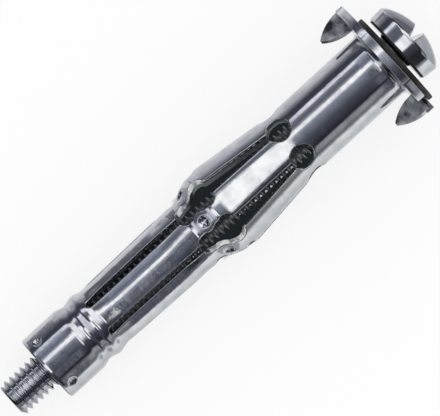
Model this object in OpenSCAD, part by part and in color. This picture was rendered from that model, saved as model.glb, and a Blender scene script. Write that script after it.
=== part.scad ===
// Hollow wall anchor for a 4 mm screw: a slotted steel sleeve with a trapped nut, a loose washer and a screw.
// It lies along X. X = 0 is the flange's wall-side face, +X points out of the wall and +Z is up.
// A depth is measured from X = 0 into the wall, along -X.

/* [Sleeve] */
// Thickness of the drawn wall
wall_t = 0.65; // [0.5:0.05:0.8]
// Outside diameter of the closed upper tube
tube_d = 7.4; // [6.8:0.1:9]
// Length of the sleeve, from the flange's outer face to the collar's open end
sleeve_l = 46.3; // [40:0.1:60]
// Radius of the bend between the tube and the flange, on its wall side
bend_r = 0.6; // [0.3:0.1:0.8]
// Depth of the centres of the round holes that start the slots
slot_start = 12.2; // [10:0.1:15]
// Width of the sheet left between two of those holes
hole_web = 1; // [0.7:0.05:1.5]
// Width of the slots where the legs aren't spread
slot_w = 0.8; // [0.5:0.05:1.2]
// Length by which the slots run into the rolled bead
slot_run = 0.6; // [0.3:0.1:1]
// Number of legs, and of slots between them
legs = 6; // [5:1:6]
// Turn of the leg pattern about the axis, in degrees
leg_turn = 3.5; // [-30:0.5:30]

/* [Fold line of the legs] */
// Depth of the narrow waist at which each leg folds
waist = 22.15; // [20:0.05:26]
// How far the spread legs stand out from the tube at the waist
waist_out = 1.15; // [0.8:0.05:1.5]
// Width of a leg at the waist
waist_w = 1.46; // [1:0.02:1.8]
// Radius of the cuts that make the waist
waist_cut_r = 1; // [0.6:0.1:1.2]
// Length past the waist over which the legs come back to the tube's radius
spread_l = 3.2; // [2.6:0.1:4]
// Distance from the waist to the round lug beside it
lug_gap = 1.65; // [1.4:0.05:2]
// Diameter of the lug
lug_d = 2.2; // [1.9:0.1:2.4]
// Width of the dimple pressed into the lug
dimple_d = 1.3; // [0.6:0.05:1.4]
// Depth of the dimple
dimple_h = 0.28; // [0.1:0.02:0.3]
// Distance from the waist to the neck on the lug's far side
neck_gap = 2.8; // [2.5:0.05:3.2]
// Width of a leg at that neck
neck_w = 1.7; // [1.4:0.05:2.2]
// Radius of the cuts that make the neck
neck_cut_r = 0.8; // [0.5:0.1:1]

/* [Collar] */
// How far the collar and its bead stand out from the tube
collar_out = 0.05; // [0:0.01:0.2]
// Depth of the rolled groove that keeps the nut from sliding up the sleeve
groove_h = 0.26; // [0.16:0.02:0.4]
// Length of one wave of the bead and the groove
groove_wave = 2.3; // [2:0.1:3]
// Distance from the collar's open end to the punch marks
punch_end = 1.2; // [1:0.1:1.6]
// Width of a punch mark
punch_d = 0.95; // [0.6:0.05:1.2]
// Depth of a punch mark
punch_h = 0.26; // [0.1:0.02:0.3]
// Number of punch marks
punches = 4; // [3:1:6]
// Radius of the rounded edge at the open end
end_r = 0.2; // [0.1:0.05:0.3]

/* [Flange] */
// Thickness of the flange and its teeth, which the drawing of the tube doesn't thin
flange_t = 0.9; // [0.7:0.05:1.2]
// Diameter of the flange's round ends
flange_d = 13.6; // [13.2:0.1:16]
// Distance across the flange's two flats
flange_w = 12.2; // [11.6:0.1:13]
// Length of a tooth, from the flange's wall-side face to its tip
tooth_l = 3.1; // [2:0.1:4]
// Width of a tooth at its root
tooth_w = 2.4; // [1.6:0.1:2.4]
// Distance from the flange's round edge in to the middle of a tooth's root
tooth_in = 1.25; // [1:0.05:1.4]
// Angle between a tooth and the flange's long axis, in degrees
tooth_skew = 20; // [0:1:30]

/* [Screw] */
// Outside diameter of the thread
screw_d = 4; // [3:0.1:4.6]
// How far the tip stands out of the collar; with the sleeve as it is, the screw is 52 mm long under its head
screw_out = 4.7; // [2:0.1:12]
// Length of the chamfer at the tip
tip_chamfer = 0.35; // [0.2:0.05:0.6]
// Diameter of the head
head_d = 8.2; // [7:0.1:10]
// Height of the head's straight side
head_side = 1.9; // [1.5:0.1:2.5]
// Radius of the domed top
dome_r = 6.8; // [6:0.1:9]
// Radius of the rounded edge under the head
head_edge_r = 0.3; // [0.1:0.05:0.5]
// Width of the driver slot
driver_w = 1.15; // [0.8:0.05:1.4]
// Depth of the driver slot below the top of the dome
driver_h = 1.4; // [1:0.1:2]
// Turn of the driver slot about the axis, from upright, in degrees
driver_turn = 4; // [-45:1:45]

/* [Washer] */
// Outside diameter of the washer
washer_d = 10.6; // [9:0.1:10.8]
// Diameter of its hole
washer_hole_d = 5.6; // [4.8:0.1:6]
// Thickness of the washer
washer_t = 0.55; // [0.4:0.05:0.8]
// Direction in which the washer has slipped off centre, from straight down towards -Y, in degrees
washer_slip = 64; // [0:1:180]

/* [Nut] */
// Length of the nut
nut_l = 2.7; // [2:0.1:4]
// Chamfer on the nut's two rims
nut_chamfer = 0.5; // [0.1:0.05:0.6]

/* [Clearances] */
// Radial gap between the screw and the nut
thread_gap = 0.05; // [0.02:0.01:0.1]
// Radial gap between the nut and the collar
nut_gap = 0.05; // [0.02:0.01:0.1]
// Gap between each end of the nut and what traps it: the groove, and the bumps behind the punch marks
nut_end_gap = 0.1; // [0.02:0.01:0.2]
// Gap left where the slipped washer hangs on the screw
hang_gap = 0.05; // [0.02:0.01:0.1]
// Gap between the flange and the washer
washer_gap = 0.05; // [0.05:0.05:0.5]
// Gap between the washer and the head
head_gap = 0.4; // [0.05:0.05:1]

/* [Hidden] */
$fn = 96;
// Straight pieces that draw each arc or wave of a turned outline
steps = 8;
// Length by which a cutting shape stands clear of what it cuts
clear = 1;

tube_r = tube_d / 2;
bore_r = tube_r - wall_t;
collar_r = tube_r + collar_out;
collar_bore_r = collar_r - wall_t;
waist_r = tube_r + waist_out;
half_leg = 180 / legs;
slot_hole_d = tube_d * sin(half_leg) - hole_web;

// Radius of the ball that presses a dent of a given width and depth
function dent_r(width, depth) = (pow(width / 2, 2) + pow(depth, 2)) / (2 * depth);
dimple_r = dent_r(dimple_d, dimple_h);
punch_r = dent_r(punch_d, punch_h);

// Depths along the collar: the nut lies between the bumps behind the punch marks and the groove
end_at = sleeve_l - flange_t;
punch_at = end_at - punch_end;
punch_bump = sqrt(pow(punch_r + wall_t, 2) - pow(punch_r + wall_t - punch_h, 2));
nut_end = punch_at - punch_bump - nut_end_gap;
nut_start = nut_end - nut_l;
nut_r = collar_bore_r - nut_gap;
wave_end = nut_start + nut_chamfer - nut_end_gap;
groove_at = wave_end - groove_wave / 2;
wave_start = groove_at - groove_wave;

// Depths and radii along the legs: they spread from the lower edge of the holes to the waist
spread_start = slot_start + slot_hole_d / 4;
spread_end = waist + spread_l;
lug_at = waist + lug_gap;
neck_at = waist + neck_gap;
slot_end = wave_start + slot_run - slot_w / 2;
function smooth(t) = t * t * (3 - 2 * t);
function spread_r(t) = waist_r + (tube_r - waist_r) * smooth(t);
// Half the width of a slot, which opens as the legs move out
slot_half = slot_w / 2;
waist_half = slot_half + waist_out * sin(half_leg);
// How far a leg's side cuts may reach from its centre line without touching the next leg
cut_reach = bore_r * sin(half_leg) + slot_half * cos(half_leg) - 0.05;

// Bend between the tube and the flange, and the rounded mouth inside it
bend_at = tube_r + bend_r;
mouth_r = bend_r + wall_t;
tooth_at = flange_d / 2 - tooth_in;

screw_r = screw_d / 2;
head_r = head_d / 2;
washer_x = flange_t + washer_gap;
washer_off = washer_hole_d / 2 - screw_r - hang_gap;
head_x = washer_x + washer_t + head_gap;
dome_h = dome_r - sqrt(pow(dome_r, 2) - pow(head_r, 2));
screw_l = head_x + end_at + screw_out;

// Turns an upright shape's Z into depth, so that its X points up
module into_wall() {
    rotate([0, -90, 0]) children();
}

// Stands a flat shape, drawn as [width, depth], across the wall at an angle about the axis
module through_wall(angle) {
    rotate([0, 0, angle]) translate([bore_r - clear, 0, 0]) rotate([90, 0, 90])
        linear_extrude(waist_out + wall_t + 2 * clear) children();
}

// ---- Sleeve ----

// Points of an arc about [r, depth]
function arc(r, depth, size, from, to) =
    [for (i = [0:steps]) let (a = from + (to - from) * i / steps) [r + size * cos(a), depth + size * sin(a)]];

// The legs' line from the tube to the waist and back, and on through the bead and the groove
function legs_line() = concat(
    [[tube_r, spread_start]],
    [for (i = [0:steps]) [spread_r(i / steps), waist + spread_l * i / steps]],
    [for (i = [0:3 * steps]) let (d = wave_start + (wave_end - wave_start) * i / (3 * steps))
        [collar_r - groove_h / 2 * (1 + cos(360 * (d - groove_at) / groove_wave)), d]]
);

// A turned solid inside the sleeve's outside
module sleeve_outside() {
    rotate_extrude() polygon(concat(
        [[0, -flange_t / 2], [bend_at, -flange_t / 2]],
        arc(bend_at, bend_r, bend_r, 270, 180),
        legs_line(),
        arc(collar_r - end_r, end_at - end_r, end_r, 0, 90),
        [[0, end_at]]
    ));
    flange_plate();
}

// The turned space inside the sleeve, a wall's thickness in from the outside
module sleeve_hollow() {
    rotate_extrude() polygon(concat(
        [[0, -flange_t - clear], [bend_at, -flange_t - clear]],
        arc(bend_at, mouth_r - flange_t, mouth_r, 270, 180),
        [for (p = legs_line()) p - [wall_t, 0]],
        [[collar_bore_r, end_at + clear], [0, end_at + clear]]
    ));
}

// The ball of each fold lug's dimple, and with grow its outside shape behind the wall
module dimple_balls(grow = 0) {
    t = lug_gap / spread_l;
    slope = atan(waist_out * 6 * t * (1 - t) / spread_l);
    for (i = [0:legs - 1]) rotate([0, 0, leg_turn + 2 * half_leg * i])
        translate([spread_r(t), 0, lug_at] + (dimple_r - dimple_h) * [cos(slope), 0, sin(slope)])
            sphere(dimple_r + grow);
}

// The balls of the punch marks round the collar
module punch_balls(grow = 0) {
    for (i = [0:punches - 1]) rotate([0, 0, (i + 0.5) * 360 / punches])
        translate([collar_r + punch_r - punch_h, 0, punch_at])
            sphere(punch_r + grow);
}

// One slot, drawn as [width, depth]: a round hole, sides that open to the waist, and a rounded end
module slot_shape() {
    translate([0, slot_start]) circle(d = slot_hole_d);
    polygon([
        [-slot_half, slot_start], [-slot_half, spread_start], [-waist_half, waist],
        [-slot_half, spread_end], [-slot_half, slot_end],
        [slot_half, slot_end], [slot_half, spread_end],
        [waist_half, waist], [slot_half, spread_start], [slot_half, slot_start]
    ]);
    translate([0, slot_end]) circle(r = slot_half);
}

// What is cut from the two sides of a leg round its fold: the waist, the lug's flanks and the neck
module side_cuts_shape() {
    for (side = [-1, 1]) intersection() {
        difference() {
            union() {
                translate([side * (waist_w / 2 + waist_cut_r), waist]) circle(waist_cut_r);
                translate([side * (neck_w / 2 + neck_cut_r), neck_at]) circle(neck_cut_r);
                translate([side * (neck_w + cut_reach) / 2, (waist + neck_at) / 2])
                    square([cut_reach, neck_gap], center = true);
            }
            translate([0, lug_at]) circle(d = lug_d);
        }
        translate([side * cut_reach / 2, lug_at]) square([cut_reach, 2 * spread_l], center = true);
    }
}

// A pointed arch on the X axis
module arch_shape(width, height) {
    r = (pow(height, 2) + pow(width / 2, 2)) / width;
    intersection() {
        translate([r - width / 2, 0]) circle(r);
        translate([width / 2 - r, 0]) circle(r);
        translate([-width / 2, 0]) square([width, height]);
    }
}

// Puts its children at both teeth's roots: X along the root and outwards, Y away from the notch
module at_teeth() {
    for (turn = [0, 180]) rotate([0, 0, turn + 90]) translate([tooth_at, 0, 0]) rotate([0, 0, tooth_skew])
        children();
}

// The flange: a round plate with two flats, less the notches that the teeth were bent out of
module flange_plate() {
    notch_r = (pow(tooth_l, 2) + pow(tooth_w / 2, 2)) / tooth_w;
    translate([0, 0, -flange_t]) linear_extrude(flange_t) difference() {
        intersection() {
            circle(d = flange_d);
            square([flange_w, flange_d], center = true);
        }
        at_teeth() intersection() {
            translate([notch_r - tooth_w / 2, 0]) circle(notch_r);
            translate([-tooth_w / 2, 0]) square([2 * notch_r, notch_r]);
        }
    }
}

// A tooth: an arch bent square to the flange, with a rounded bend at its root
module teeth() {
    at_teeth() {
        translate([0, flange_t / 2, 0]) rotate([90, 0, 0]) linear_extrude(flange_t) arch_shape(tooth_w, tooth_l);
        translate([-tooth_w / 2, -flange_t / 2, 0]) rotate([0, 90, 0])
            rotate_extrude(angle = 90) square([flange_t, tooth_w]);
    }
}

// The drawn wall with its dents, before anything is cut through it
module sleeve_wall() {
    difference() {
        sleeve_outside();
        difference() {
            sleeve_hollow();
            dimple_balls(wall_t);
            punch_balls(wall_t);
        }
        dimple_balls();
        punch_balls();
    }
}

module sleeve() {
    color("silver") into_wall() {
        // The slots come out before the cuts round the fold, which meet them at a slant
        difference() {
            difference() {
                sleeve_wall();
                for (i = [0:legs - 1]) through_wall(leg_turn + 2 * half_leg * (i + 0.5)) slot_shape();
            }
            for (i = [0:legs - 1]) through_wall(leg_turn + 2 * half_leg * i) side_cuts_shape();
        }
        teeth();
    }
}

// ---- Nut, washer and screw ----

module nut() {
    color("lightgray") into_wall() difference() {
        rotate_extrude() polygon([
            [0, nut_start], [nut_r - nut_chamfer, nut_start], [nut_r, nut_start + nut_chamfer],
            [nut_r, nut_end - nut_chamfer], [nut_r - nut_chamfer, nut_end], [0, nut_end]
        ]);
        translate([0, 0, nut_start - clear]) cylinder(r = screw_r + thread_gap, h = nut_l + 2 * clear);
    }
}

module washer() {
    color("dimgray") translate([washer_x, -washer_off * sin(washer_slip), -washer_off * cos(washer_slip)])
        rotate([0, 90, 0]) difference() {
            cylinder(d = washer_d, h = washer_t);
            translate([0, 0, -clear]) cylinder(d = washer_hole_d, h = washer_t + 2 * clear);
        }
}

// Half of the head's outline, drawn as [radius, height]
module head_outline() {
    intersection() {
        translate([0, head_side + dome_h - dome_r]) circle(dome_r);
        difference() {
            square([head_r, dome_r]);
            difference() {
                translate([head_r - head_edge_r, 0]) square(head_edge_r);
                translate([head_r - head_edge_r, head_edge_r]) circle(head_edge_r);
            }
        }
    }
}

module screw() {
    color("gainsboro") {
        into_wall() translate([0, 0, -head_x]) rotate_extrude() polygon([
            [0, -head_side / 2], [screw_r, -head_side / 2], [screw_r, screw_l - tip_chamfer],
            [screw_r - tip_chamfer, screw_l], [0, screw_l]
        ]);
        translate([head_x, 0, 0]) difference() {
            rotate([0, 90, 0]) rotate_extrude() head_outline();
            rotate([driver_turn, 0, 0]) translate([head_side + dome_h - driver_h, -driver_w / 2, -head_d])
                cube([dome_r, driver_w, 2 * head_d]);
        }
    }
}

sleeve();
nut();
washer();
screw();
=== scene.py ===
"""Hollow wall anchor for a 4 mm screw, lying as it comes to rest.

It lies along X: x = 0 is the flange's wall-side face and +X points out of the wall.
Shapes are worked out in millimetres; properties, and points on meshes, are in metres.
"""
import math

import bmesh
import bpy
import numpy as np
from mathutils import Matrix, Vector
from mathutils.geometry import delaunay_2d_cdt


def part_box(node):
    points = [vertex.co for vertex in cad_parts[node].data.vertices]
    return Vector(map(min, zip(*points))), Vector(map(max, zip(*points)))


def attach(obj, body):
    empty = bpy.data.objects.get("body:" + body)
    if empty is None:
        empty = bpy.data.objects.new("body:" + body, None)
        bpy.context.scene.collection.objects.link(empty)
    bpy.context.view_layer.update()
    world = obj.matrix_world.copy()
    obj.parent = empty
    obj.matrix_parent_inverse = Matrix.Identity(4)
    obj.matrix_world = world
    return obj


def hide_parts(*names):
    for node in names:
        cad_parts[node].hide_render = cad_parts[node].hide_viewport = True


bl_info = {
    "name": "Hollow wall anchor",
    "version": (1, 0, 0),
    "blender": (4, 5, 0),
    "location": "3D View > Sidebar > Wall anchor",
    "description": "Makes a slotted steel wall anchor with its nut, washer and screw",
    "category": "Mesh",
}

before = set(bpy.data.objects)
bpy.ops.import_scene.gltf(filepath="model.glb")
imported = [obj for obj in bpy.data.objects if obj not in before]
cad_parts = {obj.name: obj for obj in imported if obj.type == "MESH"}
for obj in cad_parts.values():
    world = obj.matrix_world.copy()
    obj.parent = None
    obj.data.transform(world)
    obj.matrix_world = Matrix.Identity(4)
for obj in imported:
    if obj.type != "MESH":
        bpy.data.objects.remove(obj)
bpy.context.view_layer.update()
MM = 0.001
SLEEVE_BOX, NUT_BOX, WASHER_BOX, SCREW_BOX = (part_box(n) for n in ("sleeve", "nut", "washer", "screw"))


# ---- Sizes and colours that a user would change ----

def length(name, description, default):
    return bpy.props.FloatProperty(name=name, description=description, default=default, min=0,
                                   precision=5, unit="LENGTH")


def angle(name, description, degrees):
    return bpy.props.FloatProperty(name=name, description=description, default=math.radians(degrees),
                                   subtype="ANGLE", unit="ROTATION")


def colour(name, description, code):
    return bpy.props.FloatVectorProperty(name=name, description=description, subtype="COLOR", size=4,
                                         min=0, max=1, default=linear(code))


def linear(code):
    """The linear colour of an sRGB hex code."""
    parts = [int(code[i:i + 2], 16) / 255 for i in (1, 3, 5)]
    return tuple(c / 12.92 if c <= 0.04045 else ((c + 0.055) / 1.055) ** 2.4 for c in parts) + (1.0,)


class AnchorSleeveSizes(bpy.types.PropertyGroup):
    tube: length("Tube", "Outside diameter of the closed upper tube", 0.0074)
    wall: length("Wall", "Thickness of the drawn wall", 0.00065)
    bend: length("Bend", "Radius between the tube and the flange", 0.0006)
    hole_at: length("Hole depth", "Depth of the round holes that start the slots", 0.0122)
    hole: length("Hole", "Diameter of those holes", 0.0027)
    slot: length("Slot", "Width of the slots where the legs aren't spread", 0.0008)
    slot_end: length("Slot end", "Depth of the centre of the slots' round ends", 0.0378)
    legs: bpy.props.IntProperty(name="Legs", description="Number of legs", default=6, min=3, max=8)
    turn: angle("Turn", "Turn of the legs about the axis", 3.5)
    roll: angle("Roll", "Roll of each lower leg about its own middle", 4.5)
    edge: length("Edge", "Radius of the sheared edges", 0.00008)


class AnchorFoldSizes(bpy.types.PropertyGroup):
    waist_at: length("Waist depth", "Depth of the waist at which a leg folds", 0.02215)
    spread: length("Spread", "How far the legs stand out at the waist", 0.00115)
    waist: length("Waist", "Width of a leg at the waist", 0.00146)
    waist_cut: length("Waist cut", "Radius of the cuts at the waist", 0.001)
    back: length("Return", "Length over which the legs come back in", 0.0032)
    lug_gap: length("Lug gap", "Distance from the waist to the lug", 0.00165)
    lug: length("Lug", "Diameter of the lug", 0.0022)
    dimple: length("Dimple", "Width of the dimple in the lug", 0.0013)
    dimple_depth: length("Dimple depth", "Depth of the dimple", 0.00028)
    neck_gap: length("Neck gap", "Distance from the waist to the neck", 0.0028)
    neck: length("Neck", "Width of a leg at the neck", 0.0017)
    neck_cut: length("Neck cut", "Radius of the cuts at the neck", 0.0008)


class AnchorCollarSizes(bpy.types.PropertyGroup):
    out: length("Stand-out", "How far the collar stands out from the tube", 0.00005)
    groove: length("Groove", "Depth of the rolled groove", 0.00026)
    groove_at: length("Groove depth", "Depth of the groove along the sleeve", 0.0399)
    wave: length("Wave", "Length of one wave of the bead and groove", 0.0023)
    punch_at: length("Punch depth", "Depth of the punch marks along the sleeve", 0.0442)
    punch: length("Punch", "Width of a punch mark", 0.00095)
    punch_depth: length("Punch sink", "Depth to which a punch mark is driven", 0.00026)
    punches: bpy.props.IntProperty(name="Punches", description="Number of punch marks", default=4, min=1)
    end_edge: length("End edge", "Radius of the open end's edge", 0.0002)


class AnchorFlangeSizes(bpy.types.PropertyGroup):
    diameter: length("Diameter", "Diameter of the flange's round ends", 0.0136)
    tooth: length("Tooth", "Length of a tooth from the flange's wall side", 0.0031)
    tooth_width: length("Tooth width", "Width of a tooth at its root", 0.0024)
    tooth_in: length("Tooth inset", "Distance from the rim to the middle of a tooth", 0.00125)
    skew: angle("Skew", "Angle between a tooth and the long axis", 20)
    edge: length("Edge", "Radius of the flange's edges", 0.00014)
    crown: length("Crown", "Radius to which shearing rolls the flats over", 0.0056)
    draft: bpy.props.FloatProperty(name="Draft", description="Slope of the sheared flats", default=0.02)


class AnchorScrewSizes(bpy.types.PropertyGroup):
    thread: length("Thread", "Outside diameter of the thread", 0.004)
    pitch: length("Pitch", "Pitch of the thread", 0.0007)
    depth: length("Thread depth", "Depth of the thread", 0.00043)
    chamfer: length("Tip chamfer", "Length of the chamfer at the tip", 0.00035)
    shank: length("Shank", "Plain length under the head", 0.0015)
    side: length("Head side", "Height of the head's straight side", 0.0019)
    dome: length("Dome", "Radius of the head's dome", 0.0068)
    slot: length("Driver slot", "Width of the driver slot", 0.00115)
    slot_depth: length("Slot depth", "Depth of the driver slot", 0.0014)
    slot_turn: angle("Slot turn", "Turn of the driver slot from upright", 4)


class AnchorFinish(bpy.types.PropertyGroup):
    zinc: colour("Zinc", "Bright zinc plate", "#E1E2E4")
    zinc_dull: colour("Dull zinc", "Zinc plate where it has dulled", "#CBCCD0")
    zinc_sheared: colour("Sheared zinc", "Zinc plate on sheared faces", "#ECEDF0")
    # Painted shade on the screw inside the sleeve and under the head
    oiled: colour("Oiled zinc", "Zinc plate under a film of oil", "#9A9C9E")
    torn: colour("Torn steel", "Thin plating on the torn teeth", "#46484C")
    # Partly a painted highlight on the edges at the folds and round the holes
    bloom: colour("Bloom", "White bloom on punched edges", "#FAFAFA")
    # Partly painted shade that darkens the inside of the sleeve
    bore: colour("Bore", "Thin zinc plate inside the bore", "#A8ABAD")
    fibre: colour("Fibre", "Vulcanised fibre of the washer", "#24201F")
    fibre_worn: colour("Worn fibre", "Fibre where it is rubbed", "#4A423D")
    floor: colour("Floor", "Matt white card under the anchor", "#FEFEFE")
    # Painted shade: a dark colour for the card right under the sleeve
    floor_dark: colour("Dark floor", "The card right under the sleeve", "#20262A")


# ---- Shared helpers ----

def add(tree, kind, inputs=None, **settings):
    """Adds a node, with its settings, and with a value or a link for each input."""
    made = tree.nodes.new(kind)
    for key, value in settings.items():
        setattr(made, key, value)
    for key, value in (inputs or {}).items():
        if isinstance(value, bpy.types.Node):
            value = value.outputs[0]
        if isinstance(value, bpy.types.NodeSocket):
            tree.links.new(value, made.inputs[key])
        else:
            made.inputs[key].default_value = value
    return made


def new_tree(name, **sockets):
    """An empty geometry node tree with a named input for each socket, and those inputs."""
    tree = bpy.data.node_groups.new(name, "GeometryNodeTree")
    tree.interface.new_socket("Geometry", in_out="OUTPUT", socket_type="NodeSocketGeometry")
    for kind, names in sockets.items():
        for socket in names:
            tree.interface.new_socket(socket, in_out="INPUT", socket_type="NodeSocket" + kind)
    return tree, add(tree, "NodeGroupInput").outputs


def end_tree(tree, shape, distance, material):
    """Ends a tree with one real mesh, joined where points lie closer than a distance."""
    real = add(tree, "GeometryNodeRealizeInstances", {"Geometry": shape})
    joined = add(tree, "GeometryNodeMergeByDistance", {"Geometry": real, "Distance": distance})
    shown = add(tree, "GeometryNodeSetMaterial", {"Geometry": joined, "Material": material})
    add(tree, "NodeGroupOutput", {"Geometry": shown})


def run_tree(piece, tree, values):
    """Puts a node tree on a piece with its input values, and turns the result into a plain mesh."""
    modifier = piece.modifiers.new(tree.name, "NODES")
    modifier.node_group = tree
    for socket in tree.interface.items_tree:
        if socket.in_out == "INPUT" and socket.name in values:
            modifier[socket.identifier] = values[socket.name]
    bake(piece)


def new_object(name, points, faces):
    """An object at the origin from points in millimetres."""
    mesh = bpy.data.meshes.new(name)
    mesh.from_pydata((np.asarray(points) * MM).tolist(), [], [list(map(int, f)) for f in faces])
    return place_mesh(name, mesh)


def place_mesh(name, mesh):
    made = bpy.data.objects.new(name, mesh)
    bpy.context.collection.objects.link(made)
    return made


def bake(piece):
    """Turns a piece and its modifiers into a plain mesh."""
    graph = bpy.context.evaluated_depsgraph_get()
    mesh = bpy.data.meshes.new_from_object(piece.evaluated_get(graph))
    piece.modifiers.clear()
    piece.data = mesh


def combine(piece, operation, tool):
    """Joins a tool to a piece, or cuts it away, and removes the tool."""
    step = piece.modifiers.new("Boolean", "BOOLEAN")
    step.operation, step.solver, step.object = operation, "MANIFOLD", tool
    bake(piece)
    bpy.data.objects.remove(tool)


def edit(piece, work):
    """Runs work on a piece's bmesh."""
    bm = bmesh.new()
    bm.from_mesh(piece.data)
    work(bm)
    bm.to_mesh(piece.data)
    bm.free()


def turn_out(piece):
    """Turns a closed mesh's faces outwards."""
    edit(piece, lambda bm: bmesh.ops.recalc_face_normals(bm, faces=bm.faces))


def weld(piece, meshes, distance):
    """Adds meshes to a piece and joins it to them. An edge that stays open stops the script."""
    def join(bm):
        for mesh in meshes:
            bm.from_mesh(mesh)
        bmesh.ops.remove_doubles(bm, verts=bm.verts, dist=distance)
        bmesh.ops.recalc_face_normals(bm, faces=bm.faces)
        if not all(edge.is_manifold for edge in bm.edges):
            raise RuntimeError(f"{piece.name} has an open edge")
    edit(piece, join)


def round_edges(bm, edges, radius, segments=3):
    bmesh.ops.bevel(bm, geom=edges, offset=radius * MM, segments=segments, profile=0.5, affect="EDGES",
                    clamp_overlap=True)


def to_mesh(bm, name):
    """A mesh from a bmesh, which is freed."""
    mesh = bpy.data.meshes.new(name)
    bm.to_mesh(mesh)
    bm.free()
    return mesh


def finish_shading(piece, sharp=40):
    """Smooth faces with creases at sharp edges, and big flat faces kept flat."""
    def mark(bm):
        bmesh.ops.dissolve_degenerate(bm, dist=1e-8, edges=bm.edges)
        for face in bm.faces:
            face.smooth = True
        for edge in bm.edges:
            edge.smooth = len(edge.link_faces) == 2 and edge.calc_face_angle(0) < math.radians(sharp)
    edit(piece, mark)
    normals = piece.modifiers.new("Normals", "WEIGHTED_NORMAL")
    normals.keep_sharp, normals.mode = True, "FACE_AREA_WITH_ANGLE"
    bake(piece)


def give_materials(piece, *materials):
    piece.data.materials.clear()
    for material in materials:
        piece.data.materials.append(material)


def soft_mask(tree, operation, steps):
    """Combines soft steps from 0 to 1, each a value with where it starts and ends."""
    mask = None
    for value, start, end in steps:
        step = add(tree, "ShaderNodeMapRange", {"Value": value, "From Min": start, "From Max": end},
                   interpolation_type="SMOOTHSTEP")
        mask = add(tree, "ShaderNodeMath", {0: mask, 1: step}, operation=operation) if mask else step
    return mask


def polar(radius, turn):
    """A point at a radius and a turn about the origin."""
    return radius * math.cos(turn), radius * math.sin(turn)


def rotate(x, y, turn):
    """A point turned about the origin."""
    c, s = math.cos(turn), math.sin(turn)
    return c * x - s * y, s * x + c * y


def lathe(outline, columns, centre=(0, 0), closed=True):
    """Points and faces of an outline of [x, radius] turned about X. A zero radius is a pole."""
    points, faces, rings = [], [], []
    for x, r in outline:
        if r < 1e-9:
            rings.append([len(points)] * columns)
            points.append((x, *centre))
        else:
            rings.append(list(range(len(points), len(points) + columns)))
            spots = (polar(r, a) for a in np.arange(columns) * 2 * math.pi / columns)
            points += [(x, centre[0] + y, centre[1] + z) for y, z in spots]
    for k in range(len(rings) - (0 if closed else 1)):
        here, there = rings[k], rings[(k + 1) % len(rings)]
        for j in range(columns):
            n = (j + 1) % columns
            corner = [here[j], here[n], there[n], there[j]]
            face = [v for i, v in enumerate(corner) if v not in corner[:i]]
            if len(face) > 2:
                faces.append(face)
    return points, faces


def rounded(corners, radii, steps=4):
    """An outline with each corner rounded to its own radius; a radius of 0 keeps a corner."""
    out, n = [], len(corners)
    for i, (corner, r) in enumerate(zip(corners, radii)):
        if not r:
            out.append(tuple(corner))
            continue
        p, a, b = (np.array(c, float) for c in (corner, corners[i - 1], corners[(i + 1) % n]))
        u, v = (a - p) / np.linalg.norm(a - p), (b - p) / np.linalg.norm(b - p)
        half = math.acos(np.clip(np.dot(u, v), -1, 1)) / 2
        reach = r / math.tan(half)
        centre = p + (u + v) / np.linalg.norm(u + v) * r / math.sin(half)
        start, stop = p + u * reach - centre, p + v * reach - centre
        turn = math.atan2(start[0] * stop[1] - start[1] * stop[0], np.dot(start, stop))
        out += [tuple(centre + np.array(rotate(*start, turn * k / steps))) for k in range(steps + 1)]
    return out


def turned(name, outline, columns, material, centre=(0, 0)):
    """A finished ring turned from its outline."""
    piece = new_object(name, *lathe(outline, columns, centre))
    turn_out(piece)
    finish_shading(piece)
    give_materials(piece, material)
    return piece


# ---- Materials ----

def new_material(name):
    """A material with an empty node tree, that tree, and the place on the object."""
    made = bpy.data.materials.new(name)
    made.use_nodes = True
    made.node_tree.nodes.clear()
    return made, made.node_tree, add(made.node_tree, "ShaderNodeTexCoord").outputs["Object"]


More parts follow.
